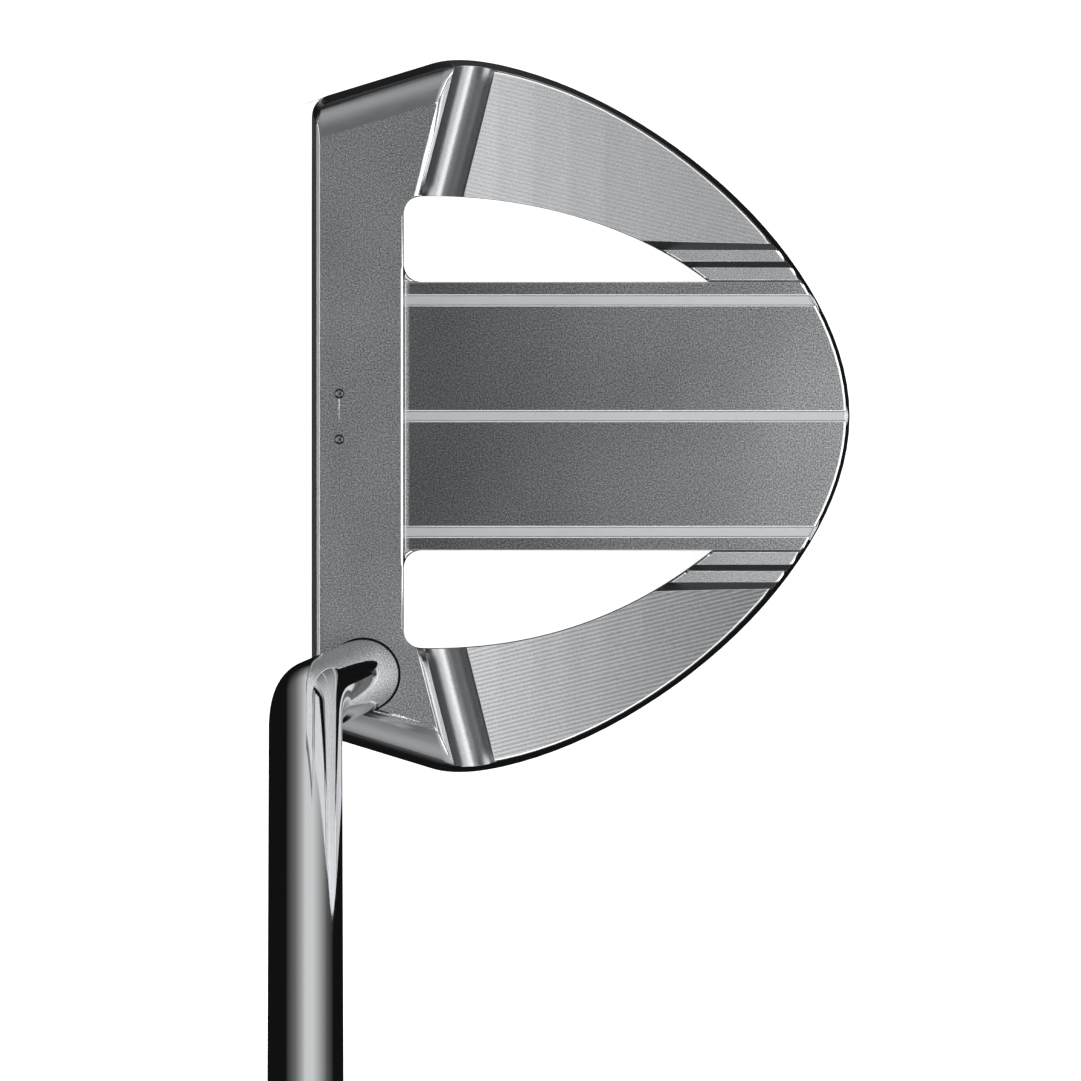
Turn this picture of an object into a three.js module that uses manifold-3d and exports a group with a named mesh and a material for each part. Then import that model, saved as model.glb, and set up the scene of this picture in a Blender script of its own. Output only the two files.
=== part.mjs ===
// A mallet putter: a one-piece milled steel head, paint-filled lines, a bent steel shaft and a pistol grip.
// Millimetres. +X runs from the face to the back of the head, +Y from heel to toe, +Z up.
// The origin lies on the ground under the middle of the head, where the flat of the sole rests.
import * as THREE from "three";
import { mergeVertices } from "three/addons/utils/BufferGeometryUtils.js";
import Module from "manifold-3d";

// ---- Driving dimensions ----

// Plan outline of the head at the ground. Y values are half widths.
const FACE_X = -35.3;
const REAR_X = 35.35;
const FLANK_START_Y = 41.55; // where the face line would meet the straight flank
const FLANK_END = new THREE.Vector2(-19.5, 46.43); // where the flank starts to turn over
const FLANK_PEAK = new THREE.Vector2(-16.05, 47.49); // corner of the turn, never reached
const BACK_START = new THREE.Vector2(-10.2, 46.17); // where the long rear curve starts
const BACK_PULL_SIDE = new THREE.Vector2(10.97, 41.38);
const BACK_PULL_REAR = new THREE.Vector2(REAR_X, 19.65);
const FACE_CORNER_R = 2.4;

// Heights above the ground.
const TOPLINE_Z = 23;
const WING_FRONT_Z = 12.2;
const WING_BACK_Z = 8.7; // control height that flattens the rear of the wings
const WING_REAR_Z = 8.5;
const FLOOR_Z = 5;

// How far the walls lean in. The face leans over its whole height, the others only below LEAN_TOP_Z.
const LEAN_TOP_Z = TOPLINE_Z / 2;
const FACE_LEAN = 0.6; // a degree and a half of loft
const REAR_LEAN = 1.2;
const FLANK_LEAN = 1.3;
const TOPLINE_BACK_X = -23.35;
const TOPLINE_BACK_LEAN = 0.45;

// Stair of sloped risers between the rear of each wing and the floor. foot and top are half widths.
const LOW_RISERS = [
  { foot: 17.5, top: 17.85, rise: 1.0 },
  { foot: 19.45, top: 20.3, rise: 1.2 },
];
const WING_RISER_FOOT = 21.75;
const WING_RISER_SLOPE = 1.65; // rise over run of the last riser, which runs up until it meets the wing

// The two openings through the head. Y values are half widths, and the heel one is a little deeper.
const OPENING_FRONT_X = -23.2;
const OPENING_INNER_Y = 17.6;
const OPENING_CORNER_R = 2.7;
const OPENING_SPREAD = 1.006; // the openings widen a little towards the top
const TOE_OPENING = { side: 1, outerY: 28.85, pullSideX: -5.5, pullTip: [8.0, 24.5], tipX: 16.8 };
const HEEL_OPENING = { side: -1, outerY: 30.45, pullSideX: -3.4, pullTip: [8.2, 24.9], tipX: 17.3 };
const OPENING_CURVE_X = -19.5; // where the straight outer edge becomes the long curve

// Ball-ended cuts between the topline and the wings.
const CHANNEL_R = 2.7;
const CHANNEL_ANGLE = THREE.MathUtils.degToRad(14.4); // away from the Y axis
const CHANNEL_POINT = new THREE.Vector2(-17.95, 29.7); // one point of the cut's axis
const CHANNEL_AXIS_Z = 11.4;
const CHANNEL_FACET = 1.0; // flat broken along the topline's edge beside the cut
const CHANNEL_LENGTH = 50; // long enough to leave the head at both ends

// Topline edges.
const LEADING_CHAMFER = 0.45;
const ROLL_WIDTH = 4.65; // width of the soft roll at the toe and heel ends
const ROLL_DROP = 2.0;
const ROLL_STEPS = 14;

// Sight marks.
const LINE_Y = 15.17;
const LINE_WIDTH = 1.2;
const LINE_DEPTH = 0.4;
const ENAMEL_GAP = 0.03; // between the enamel and the groove's walls
const ENAMEL_DROP = 0.15; // enamel surface below the floor
const ENAMEL_END_GAP = 0.3; // enamel stops this far short of the rim
const DIMPLE_X = -31.7;
const DIMPLE_Y = 2.98;
const DIMPLE_R = 0.76; // radius of the ball that sinks them
const DIMPLE_LIFT = 0.36; // height of the ball's centre above the topline
const DIMPLE_SIDES = 20;

// Sole.
const SOLE_FLAT_Y = 26; // half width of the flat that rests on the ground
const SOLE_RELIEF = THREE.MathUtils.degToRad(4);

// Shaft: a straight lower end in the head, one bend, then the long straight at the lie angle.
const LIE = THREE.MathUtils.degToRad(70);
const BORE_MOUTH = new THREE.Vector3(-28.6, -33.7, TOPLINE_Z);
const BEND_POINT = new THREE.Vector3(-36.1, -36.1, 88); // where the two straight axes cross
const BEND_R = 64;
const BORE_R = 4.88;
const BORE_DEPTH = 16;
const SHAFT_TIP_R = 4.7; // 0.370 inch tip
const SHAFT_BUTT_R = 7.55;
const SHAFT_WALL = 0.6;
const TIP_CLEARANCE = 0.6; // shaft tip above the bottom of the bore
const STEP_COUNT = 11;
const STEP_START = 190; // first step above the bend point, along the shaft
const STEP_PITCH = 31;
const STEP_SLOPE = 1.2; // length of each step's cone
const BEND_RINGS = 9;
const CLUB_LENGTH = 864; // 34 inches, from the ground to the end of the cap along the shaft

// Pieces on the shaft.
const EPOXY_INNER_R = 4.75;
const EPOXY_OUTER_R = 4.84;
const EPOXY_TOP = 1; // below the mouth of the bore
const BORE_MARGIN = 6; // the boring tool starts this far above the mouth
const PLUG_LENGTH = 9;
const FIT_GAP = 0.06;
const GRIP_LENGTH = 267;
const GRIP_MOUTH_R = 9.6;
const GRIP_GROWTH = { gain: 3.4, end: 0.45 }; // radius gained from the mouth, ends are shares of the length
const GRIP_BUTT_GROWTH = { gain: 0.9, start: 0.75 };
const GRIP_FLAT = { height: 0.8, crown: 0.12, start: 0.12 }; // thumb flat, as shares of the radius
const GRIP_SWELL = { gain: 0.34, start: 0.45, end: 0.85 }; // the back stands out below the butt
const GRIP_SWELL_LOSS = { share: 0.35, start: 0.9 }; // and draws in again at the very end
const GRIP_BORE_R = 8.15;
const GRIP_MIN_WALL = 0.5; // points nearer the bore than this keep its round form
const CAP_THICKNESS = 3;
const CAP_EDGE = 1.2; // width of the slope round the rim of the cap
const SHAFT_END_GAP = 1; // between the end of the shaft and the cap
const VENT_R = 1.3;
const TAPE_THICKNESS = 0.3;
const TAPE_SHORT = 6; // tape stops this far inside the mouth of the grip

// Facets.
const OUTLINE_STEPS = 28;
const ROUND_SIDES = 72;
const SHAFT_SIDES = 24;
const GRIP_SIDES = 32;
const GRIP_RINGS = 22;
const ARCH_STEPS = 12;
const FAR = 80; // reaches past the head on every side
const PAST = 1; // a cut starts and ends this far outside the metal

// ---- Materials ----

function finish(color, roughness, metalness) {
  return new THREE.MeshStandardMaterial({ color, roughness, metalness });
}

// ---- Solids ----

const wasm = await Module();
wasm.setup();

function toSolid(geometry) {
  const bare = geometry.clone();
  bare.deleteAttribute("normal");
  bare.deleteAttribute("uv");
  const merged = mergeVertices(bare, 1e-4);
  const triVerts = new Uint32Array(merged.index.array);
  const vertProperties = merged.attributes.position.array;
  return new wasm.Manifold(new wasm.Mesh({ numProp: 3, vertProperties, triVerts }));
}

function toGeometry(solid) {
  const { vertProperties, triVerts } = solid.getMesh();
  const indexed = new THREE.BufferGeometry();
  indexed.setAttribute("position", new THREE.BufferAttribute(vertProperties, 3));
  indexed.setIndex(new THREE.BufferAttribute(triVerts, 1));
  const geometry = indexed.toNonIndexed();
  geometry.computeVertexNormals();
  return geometry;
}

// Moves every vertex of a geometry to where place(vertex) puts it.
function reshape(geometry, place) {
  const position = geometry.attributes.position;
  const vertex = new THREE.Vector3();
  for (let i = 0; i < position.count; i += 1) {
    vertex.fromBufferAttribute(position, i);
    place(vertex);
    position.setXYZ(i, vertex.x, vertex.y, vertex.z);
  }
  return geometry;
}

// An upright prism over a plan shape, from z = low to z = high, its walls in equal steps.
function prism(shape, low, high, steps = 1) {
  const options = { depth: high - low, steps, bevelEnabled: false, curveSegments: OUTLINE_STEPS };
  return new THREE.ExtrudeGeometry(shape, options).translate(0, 0, low);
}

// A bar along Y with the given section in X and Z.
function barAlongY(section, length) {
  const shape = new THREE.Shape(section.map(([x, z]) => new THREE.Vector2(x, z)));
  const bar = new THREE.ExtrudeGeometry(shape, { depth: length, bevelEnabled: false });
  return bar.rotateX(Math.PI / 2).translate(0, length / 2, 0);
}

// A bar along X with the given section in Y and Z.
function barAlongX(section, length) {
  const shape = new THREE.Shape(section.map(([y, z]) => new THREE.Vector2(y, z)));
  const bar = new THREE.ExtrudeGeometry(shape, { depth: length, bevelEnabled: false });
  return bar.rotateX(Math.PI / 2).rotateZ(Math.PI / 2).translate(-length / 2, 0, 0);
}

// ---- Head: outline and levels ----

// Half of the outline, from the middle of the face round to the middle of the back, on the side given.
function traceHalf(shape, side) {
  const flankSlope = (FLANK_END.y - FLANK_START_Y) / (FLANK_END.x - FACE_X);
  const along = FACE_CORNER_R / Math.hypot(1, flankSlope);
  shape.lineTo(FACE_X, side * (FLANK_START_Y - FACE_CORNER_R));
  shape.quadraticCurveTo(
    FACE_X,
    side * FLANK_START_Y,
    FACE_X + along,
    side * (FLANK_START_Y + flankSlope * along),
  );
  shape.lineTo(FLANK_END.x, side * FLANK_END.y);
  shape.quadraticCurveTo(FLANK_PEAK.x, side * FLANK_PEAK.y, BACK_START.x, side * BACK_START.y);
  shape.bezierCurveTo(
    BACK_PULL_SIDE.x,
    side * BACK_PULL_SIDE.y,
    BACK_PULL_REAR.x,
    side * BACK_PULL_REAR.y,
    REAR_X,
    0,
  );
}

function outline() {
  const toe = new THREE.Shape();
  toe.moveTo(FACE_X, 0);
  traceHalf(toe, 1);
  const heel = new THREE.Shape();
  heel.moveTo(FACE_X, 0);
  traceHalf(heel, -1);
  const heelPoints = heel.getPoints(OUTLINE_STEPS);
  const toePoints = toe.getPoints(OUTLINE_STEPS).slice(1, -1).reverse();
  return new THREE.Shape([...heelPoints, ...toePoints]);
}

// The outline raised to the topline, with its walls leaning in. grow moves every wall outwards.
function blank(grow = 0) {
  const tall = prism(outline(), 0, TOPLINE_Z, TOPLINE_Z / LEAN_TOP_Z);
  return reshape(tall, (v) => {
    const share = Math.min(1, v.z / LEAN_TOP_Z);
    const faceLean = (FACE_LEAN / -FACE_X) * (v.z / TOPLINE_Z);
    const rearLean = (REAR_LEAN / REAR_X) * share;
    v.x *= 1 - (v.x < 0 ? faceLean : rearLean) + grow / REAR_X;
    v.y *= 1 - (FLANK_LEAN / FLANK_PEAK.y) * share + grow / FLANK_PEAK.y;
  });
}

// Distance along X of the channel's axis at a half width y.
function channelX(y) {
  return CHANNEL_POINT.x + Math.tan(CHANNEL_ANGLE) * (y - CHANNEL_POINT.y);
}

// The full-height front bar: its middle, then the two ends that reach back to the channels.
function toplineColumn() {
  const backFoot = TOPLINE_BACK_X + TOPLINE_BACK_LEAN;
  const middle = toSolid(
    barAlongY([[-FAR, 0], [backFoot, 0], [TOPLINE_BACK_X, TOPLINE_Z], [-FAR, TOPLINE_Z]], FAR * 2),
  );
  const wallX = (y) => channelX(y) - CHANNEL_R / Math.cos(CHANNEL_ANGLE);
  const ends = [1, -1].map((side) => {
    const end = new THREE.Shape([
      new THREE.Vector2(-FAR, side * OPENING_INNER_Y),
      new THREE.Vector2(wallX(OPENING_INNER_Y), side * OPENING_INNER_Y),
      new THREE.Vector2(wallX(FAR), side * FAR),
      new THREE.Vector2(-FAR, side * FAR),
    ]);
    return toSolid(prism(end, 0, TOPLINE_Z));
  });
  return middle.add(ends[0]).add(ends[1]);
}

// Everything behind the topline: floor, stairs and wings, under the wings' gently arched slope.
function rearLevels() {
  const stair = [];
  let z = FLOOR_Z;
  for (const { foot, top, rise } of LOW_RISERS) {
    stair.push([foot, z]);
    z += rise;
    stair.push([top, z]);
  }
  stair.push([WING_RISER_FOOT, z]);
  stair.push([WING_RISER_FOOT + (TOPLINE_Z - z) / WING_RISER_SLOPE, TOPLINE_Z]);
  const heelStair = stair.map(([y, height]) => [-y, height]);
  const ground = [[-FAR, 0], [FAR, 0], [FAR, TOPLINE_Z]];
  const section = [...ground, ...stair.reverse(), ...heelStair, [-FAR, TOPLINE_Z]];
  const stairs = toSolid(barAlongX(section, FAR * 2));

  const arch = new THREE.QuadraticBezierCurve(
    new THREE.Vector2(OPENING_FRONT_X, WING_FRONT_Z),
    new THREE.Vector2(0, WING_BACK_Z),
    new THREE.Vector2(REAR_X, WING_REAR_Z),
  );
  const top = arch.getPoints(ARCH_STEPS).map((p) => [p.x, p.y]).reverse();
  const front = OPENING_FRONT_X - PAST;
  const side = [[front, 0], [FAR, 0], [FAR, FLOOR_Z], ...top, [front, WING_FRONT_Z]];
  return stairs.intersect(toSolid(barAlongY(side, FAR * 2)));
}

// ---- Head: cuts ----

function openingCut({ side, outerY, pullSideX, pullTip, tipX }) {
  const x = OPENING_FRONT_X;
  const r = OPENING_CORNER_R;
  const inner = OPENING_INNER_Y;
  const shape = new THREE.Shape();
  shape.moveTo(x + r, side * inner);
  shape.quadraticCurveTo(x, side * inner, x, side * (inner + r));
  shape.lineTo(x, side * (outerY - r));
  shape.quadraticCurveTo(x, side * outerY, x + r, side * outerY);
  shape.lineTo(OPENING_CURVE_X, side * outerY);
  shape.bezierCurveTo(pullSideX, side * outerY, pullTip[0], side * pullTip[1], tipX, side * inner);
  shape.closePath();
  const cut = prism(shape, -PAST, TOPLINE_Z + PAST);
  reshape(cut, (v) => {
    v.x *= 1 + (OPENING_SPREAD - 1) * (v.z / TOPLINE_Z);
  });
  return toSolid(cut);
}

// A bar laid along the channel's direction on the side given, its section in [offset, height].
function barAlongChannel(section, side, length) {
  const bar = barAlongY(section, length);
  bar.rotateZ(-side * CHANNEL_ANGLE);
  const middleY = CHANNEL_POINT.y + length / 2 - CHANNEL_R;
  return bar.translate(channelX(middleY), side * middleY, 0);
}

function channelCut(side) {
  const section = [];
  for (let i = 0; i < ROUND_SIDES; i += 1) {
    const angle = (i / ROUND_SIDES) * Math.PI * 2;
    section.push([CHANNEL_R * Math.cos(angle), CHANNEL_AXIS_Z + CHANNEL_R * Math.sin(angle)]);
  }
  const groove = toSolid(barAlongChannel(section, side, CHANNEL_LENGTH));
  const edge = -CHANNEL_R;
  const facet = [
    [edge - CHANNEL_FACET - PAST, TOPLINE_Z + PAST],
    [edge - CHANNEL_FACET, TOPLINE_Z],
    [edge, TOPLINE_Z - CHANNEL_FACET],
    [edge + PAST, TOPLINE_Z - CHANNEL_FACET],
    [edge + PAST, TOPLINE_Z + PAST],
  ];
  return groove.add(toSolid(barAlongChannel(facet, side, CHANNEL_LENGTH)));
}

// The bright flat broken along the top of the face.
function leadingEdgeCut() {
  const x = FACE_X + FACE_LEAN;
  const low = TOPLINE_Z - LEADING_CHAMFER - PAST;
  const high = TOPLINE_Z + PAST;
  const section = [[x - PAST, low], [x + LEADING_CHAMFER + PAST, high], [x - PAST, high]];
  return toSolid(barAlongY(section, FAR * 2));
}

// The soft roll that takes the topline down to the flank at one end.
function endRollCut(side) {
  const flank = new THREE.Vector2(FLANK_END.x - FACE_X, FLANK_END.y - FLANK_START_Y);
  const angle = Math.atan2(flank.y, flank.x);
  const high = TOPLINE_Z + PAST;
  const section = [[-PAST, high], [-PAST, TOPLINE_Z - ROLL_DROP]];
  for (let i = 0; i <= ROLL_STEPS; i += 1) {
    const turn = (i / ROLL_STEPS) * (Math.PI / 2);
    section.push([ROLL_WIDTH * (1 - Math.cos(turn)), TOPLINE_Z - ROLL_DROP * (1 - Math.sin(turn))]);
  }
  section.push([ROLL_WIDTH, high]);
  const bar = barAlongY(section, FAR);
  const scale = 1 - FLANK_LEAN / FLANK_PEAK.y;
  bar.rotateZ(side * (angle - Math.PI / 2));
  return toSolid(bar.translate(FLANK_END.x, side * FLANK_END.y * scale, 0));
}

function lineCut(y) {
  const groove = new THREE.BoxGeometry(FAR, LINE_WIDTH, LINE_DEPTH * 2);
  const start = TOPLINE_BACK_X + TOPLINE_BACK_LEAN;
  return toSolid(groove.translate(start + FAR / 2, y, FLOOR_Z));
}

function dimpleCut(y) {
  const ball = new THREE.SphereGeometry(DIMPLE_R, DIMPLE_SIDES, DIMPLE_SIDES / 2);
  return toSolid(ball.translate(DIMPLE_X, y, TOPLINE_Z + DIMPLE_LIFT));
}

function soleReliefCut(side) {
  const rise = Math.tan(SOLE_RELIEF) * (FAR - SOLE_FLAT_Y);
  const inner = side * SOLE_FLAT_Y;
  const outer = side * FAR;
  return toSolid(barAlongX([[inner, 0], [outer, rise], [outer, -PAST], [inner, -PAST]], FAR * 2));
}

// ---- Shaft: turned straight along its own axis, then bent ----

const lowerAxis = BEND_POINT.clone().sub(BORE_MOUTH).normalize();
const upperAxis = new THREE.Vector3(0, -Math.cos(LIE), Math.sin(LIE));
const bendAngle = lowerAxis.angleTo(upperAxis);
const bendTangent = BEND_R * Math.tan(bendAngle / 2);
const bendLength = BEND_R * bendAngle;
const bendInward = upperAxis.clone().addScaledVector(lowerAxis, -upperAxis.dot(lowerAxis)).normalize();
const bendSide = new THREE.Vector3().crossVectors(lowerAxis, bendInward);

// Distances along the shaft's own axis, from its tip.
const shaftTip = BORE_MOUTH.clone().addScaledVector(lowerAxis, TIP_CLEARANCE - BORE_DEPTH);
const bendStart = shaftTip.distanceTo(BEND_POINT) - bendTangent;
const bendEnd = bendStart + bendLength;
const upperStart = BEND_POINT.clone().addScaledVector(upperAxis, bendTangent);
const clubEnd = bendEnd - bendTangent + (CLUB_LENGTH - BEND_POINT.z / Math.sin(LIE));
const shaftEnd = clubEnd - CAP_THICKNESS - SHAFT_END_GAP;

// Bends a geometry that was turned round the Y axis, whose y is the distance from the shaft's tip.
function bendToShaft(geometry) {
  return reshape(geometry, (v) => {
    const { x, y: s, z } = v;
    const turn = THREE.MathUtils.clamp((s - bendStart) / BEND_R, 0, bendAngle);
    const forward = lowerAxis.clone().applyAxisAngle(bendSide, turn);
    const inward = bendInward.clone().applyAxisAngle(bendSide, turn);
    v.copy(shaftTip).addScaledVector(lowerAxis, Math.min(s, bendStart));
    v.addScaledVector(lowerAxis, BEND_R * Math.sin(turn));
    v.addScaledVector(bendInward, BEND_R * (1 - Math.cos(turn)));
    v.addScaledVector(forward, Math.max(0, s - bendEnd));
    v.addScaledVector(inward, x).addScaledVector(bendSide, -z);
  });
}

// Sets a geometry on the long straight, with its x towards the face and its z away from the golfer.
function placeOnUpperShaft(geometry) {
  const across = new THREE.Vector3(-1, 0, 0);
  const front = new THREE.Vector3().crossVectors(across, upperAxis);
  return reshape(geometry, (v) => {
    const { x, y: s, z } = v;
    v.copy(upperStart).addScaledVector(upperAxis, s - bendEnd);
    v.addScaledVector(across, x).addScaledVector(front, z);
  });
}

function turned(profile, sides) {
  return new THREE.LatheGeometry(profile.map(([r, s]) => new THREE.Vector2(r, s)), sides);
}

function shaftGeometry() {
  const stations = [[SHAFT_TIP_R, 0]];
  for (let i = 0; i <= BEND_RINGS; i += 1) {
    stations.push([SHAFT_TIP_R, bendStart + (bendLength * i) / BEND_RINGS]);
  }
  for (let i = 0; i < STEP_COUNT; i += 1) {
    const s = bendEnd + STEP_START + STEP_PITCH * i;
    const growth = (SHAFT_BUTT_R - SHAFT_TIP_R) / STEP_COUNT;
    stations.push([SHAFT_TIP_R + growth * i, s], [SHAFT_TIP_R + growth * (i + 1), s + STEP_SLOPE]);
  }
  stations.push([SHAFT_BUTT_R, shaftEnd]);
  const inside = stations.map(([r, s]) => [r - SHAFT_WALL, s]).reverse();
  return bendToShaft(turned([...stations, ...inside, stations[0]], SHAFT_SIDES));
}

// A plain sleeve round the shaft's axis between two radii.
function sleeve(innerR, outerR, low, high, sides) {
  return turned([[innerR, low], [outerR, low], [outerR, high], [innerR, high], [innerR, low]], sides);
}

function boreCut() {
  const low = -TIP_CLEARANCE;
  const high = BORE_DEPTH + BORE_MARGIN;
  const tool = turned([[0, low], [BORE_R, low], [BORE_R, high], [0, high]], ROUND_SIDES);
  return toSolid(bendToShaft(tool));
}

function tipPlugGeometry() {
  const r = SHAFT_TIP_R - SHAFT_WALL - FIT_GAP;
  return bendToShaft(turned([[0, 0], [r, 0], [r, PLUG_LENGTH], [0, PLUG_LENGTH]], SHAFT_SIDES));
}

// ---- Grip ----

const { clamp, lerp, smoothstep } = THREE.MathUtils;

const gripStart = clubEnd - CAP_THICKNESS - GRIP_LENGTH;
const gripEnd = clubEnd - CAP_THICKNESS;

// Outer radius of the round form that the pistol shape is made from.
function gripRadius(t) {
  const growth = GRIP_GROWTH.gain * smoothstep(t, 0, GRIP_GROWTH.end);
  return GRIP_MOUTH_R + growth + GRIP_BUTT_GROWTH.gain * smoothstep(t, GRIP_BUTT_GROWTH.start, 1);
}

// Flattens the front for the thumbs and swells the back below the butt, as a pistol grip is.
function shapePistol(v) {
  const onBore = Math.hypot(v.x, v.z) < GRIP_BORE_R + GRIP_MIN_WALL;
  if (onBore) return;
  const t = clamp((v.y - gripStart) / GRIP_LENGTH, 0, 1);
  const flat = gripRadius(t) * lerp(1, GRIP_FLAT.height, smoothstep(t, 0, GRIP_FLAT.start));
  if (v.z > flat) v.z = flat + (v.z - flat) * GRIP_FLAT.crown;
  const rise = smoothstep(t, GRIP_SWELL.start, GRIP_SWELL.end);
  const loss = GRIP_SWELL_LOSS.share * smoothstep(t, GRIP_SWELL_LOSS.start, 1);
  if (v.z < 0) v.z *= 1 + GRIP_SWELL.gain * (rise - loss);
}

function gripGeometry() {
  const profile = [[GRIP_BORE_R, gripStart]];
  for (let i = 0; i <= GRIP_RINGS; i += 1) {
    profile.push([gripRadius(i / GRIP_RINGS), gripStart + (GRIP_LENGTH * i) / GRIP_RINGS]);
  }
  profile.push([GRIP_BORE_R, gripEnd], [GRIP_BORE_R, gripStart]);
  return placeOnUpperShaft(reshape(turned(profile, GRIP_SIDES), shapePistol));
}

function gripCapGeometry() {
  const r = gripRadius(1);
  const low = gripEnd + FIT_GAP;
  const profile = [
    [VENT_R, low],
    [r, low],
    [r, clubEnd - CAP_EDGE],
    [r - CAP_EDGE, clubEnd],
    [VENT_R, clubEnd],
    [VENT_R, low],
  ];
  return placeOnUpperShaft(reshape(turned(profile, GRIP_SIDES), shapePistol));
}

// ---- Assembly ----

function buildHead() {
  const cuts = [openingCut(TOE_OPENING), openingCut(HEEL_OPENING), leadingEdgeCut(), boreCut()];
  for (const side of [1, -1]) {
    cuts.push(channelCut(side), endRollCut(side), soleReliefCut(side), dimpleCut(side * DIMPLE_Y));
  }
  for (const row of [-1, 0, 1]) cuts.push(lineCut(row * LINE_Y));
  const levels = toplineColumn().add(rearLevels());
  return cuts.reduce((head, cut) => head.subtract(cut), toSolid(blank()).intersect(levels));
}

function enamelGeometry(y) {
  const width = LINE_WIDTH - ENAMEL_GAP * 2;
  const depth = LINE_DEPTH - ENAMEL_GAP - ENAMEL_DROP;
  const start = TOPLINE_BACK_X + TOPLINE_BACK_LEAN + ENAMEL_GAP;
  const strip = new THREE.BoxGeometry(FAR, width, depth);
  strip.translate(start + FAR / 2, y, FLOOR_Z - ENAMEL_DROP - depth / 2);
  return toGeometry(toSolid(strip).intersect(toSolid(blank(-ENAMEL_END_GAP))));
}

const group = new THREE.Group();

function addPart(name, geometry, material) {
  const mesh = new THREE.Mesh(geometry, material);
  mesh.name = name;
  group.add(mesh);
}

addPart("head", toGeometry(buildHead()), finish(0x8b9094, 0.42, 1));
for (const [name, row] of [["toe", 1], ["centre", 0], ["heel", -1]]) {
  addPart(`alignment_line_${name}`, enamelGeometry(row * LINE_Y), finish(0xc8cbce, 0.5, 0));
}
addPart("shaft", shaftGeometry(), finish(0xc9cdd1, 0.06, 1));
addPart("shaft_tip_plug", tipPlugGeometry(), finish(0x9a6b42, 0.9, 0));
const epoxyHigh = BORE_DEPTH - TIP_CLEARANCE - EPOXY_TOP;
addPart(
  "shaft_epoxy",
  bendToShaft(sleeve(EPOXY_INNER_R, EPOXY_OUTER_R, 0, epoxyHigh, ROUND_SIDES)),
  finish(0x2a2a28, 0.5, 0),
);
const tapeInnerR = SHAFT_BUTT_R + FIT_GAP;
addPart(
  "grip_tape",
  placeOnUpperShaft(
    sleeve(tapeInnerR, tapeInnerR + TAPE_THICKNESS, gripStart + TAPE_SHORT, shaftEnd, GRIP_SIDES),
  ),
  finish(0xb9a77c, 0.8, 0),
);
addPart("grip", gripGeometry(), finish(0x1b1b1c, 0.85, 0));
addPart("grip_cap", gripCapGeometry(), finish(0x141415, 0.6, 0));

export default group;
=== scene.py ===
"""A mallet putter, ready to render.

It has one milled steel head with paint-filled lines, a bent chrome shaft and a rubber grip.
Metres, +X from the face to the back of the head, +Y from heel to toe, +Z up.
"""
from math import atan2, cos, hypot, pi, radians, sin, tan

import bmesh
import bpy
from mathutils import Matrix, Quaternion, Vector


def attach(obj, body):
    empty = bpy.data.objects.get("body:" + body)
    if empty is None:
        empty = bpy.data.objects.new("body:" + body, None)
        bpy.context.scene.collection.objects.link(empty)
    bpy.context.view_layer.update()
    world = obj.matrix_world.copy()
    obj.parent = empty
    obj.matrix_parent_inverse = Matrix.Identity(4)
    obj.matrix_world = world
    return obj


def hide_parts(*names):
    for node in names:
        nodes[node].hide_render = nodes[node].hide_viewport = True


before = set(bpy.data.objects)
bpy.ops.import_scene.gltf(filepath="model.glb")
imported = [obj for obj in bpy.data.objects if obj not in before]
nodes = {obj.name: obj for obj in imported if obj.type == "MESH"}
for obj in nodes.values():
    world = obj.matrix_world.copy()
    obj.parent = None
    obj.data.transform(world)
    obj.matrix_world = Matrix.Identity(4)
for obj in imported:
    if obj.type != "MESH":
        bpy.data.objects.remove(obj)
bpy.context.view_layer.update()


# ---- Camera ----
# A long lens almost straight above the head, with the face to the left and the toe at the top.
# The shaft leans towards the golfer, and so it leaves the picture at its lower edge.

CAMERA_PLACE = Vector((-0.036, 0.010, 3.44))
CAMERA_AIM = Vector((-0.00525, -0.01634, 0.0))
SENSOR = 36.0
FRAME_WIDTH = 0.1419  # width seen at the ground, in metres

camera_data = bpy.data.cameras.new("camera")
camera_data.sensor_width = SENSOR
camera_data.lens = SENSOR * CAMERA_PLACE.z / FRAME_WIDTH
camera_data.clip_start = 0.1
camera_data.clip_end = 200.0
camera = bpy.data.objects.new("camera", camera_data)
bpy.context.scene.collection.objects.link(camera)

backward = (CAMERA_PLACE - CAMERA_AIM).normalized()
rightward = Vector((0, 1, 0)).cross(backward).normalized()
upward = backward.cross(rightward)
turn = Matrix((rightward, upward, backward)).transposed()
camera.matrix_world = Matrix.Translation(CAMERA_PLACE) @ turn.to_4x4()
bpy.context.scene.camera = camera


# ---- Studio ----
# A pale table under the putter, and a dark room with soft lights round it, as polished metal is lit.
# The steel doesn't see the table: below it there is only one pale screen, beyond the toe and low down.

FLOOR_SIZE = 12.0
FLOOR_HEIGHT = -0.0005
FLOOR_GLOW = 0.90
FLOOR_COLOUR = (0.8, 0.8, 0.8, 1)
ROOM = [(0.0, 0.006), (0.15, 0.08), (0.8, 0.17), (1.0, 0.20)]  # sine of elevation, brightness
SCREEN_HALF_WIDTH = 1.0  # radians to each side of the toe
SCREEN = [  # share of the screen's width, brightness
    (0.20, 0.0), (0.35, 0.14), (0.44, 0.37), (0.50, 0.62),
    (0.60, 0.65), (0.71, 0.38), (0.83, 0.09), (0.95, 0.0),
]
SCREEN_FOOT = (-0.96, -0.88)  # sine of elevation, where the screen fades in
SCREEN_HEAD = (-0.25, -0.45)  # and where it fades out


def add_node(tree, kind, inputs=None, **settings):
    """Adds a node, sets its settings, and sets or links its inputs."""
    made = tree.nodes.new(kind)
    for name, value in settings.items():
        setattr(made, name, value)
    for socket, value in (inputs or {}).items():
        if isinstance(value, bpy.types.NodeSocket):
            tree.links.new(value, made.inputs[socket])
        else:
            made.inputs[socket].default_value = value
    return made


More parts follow.
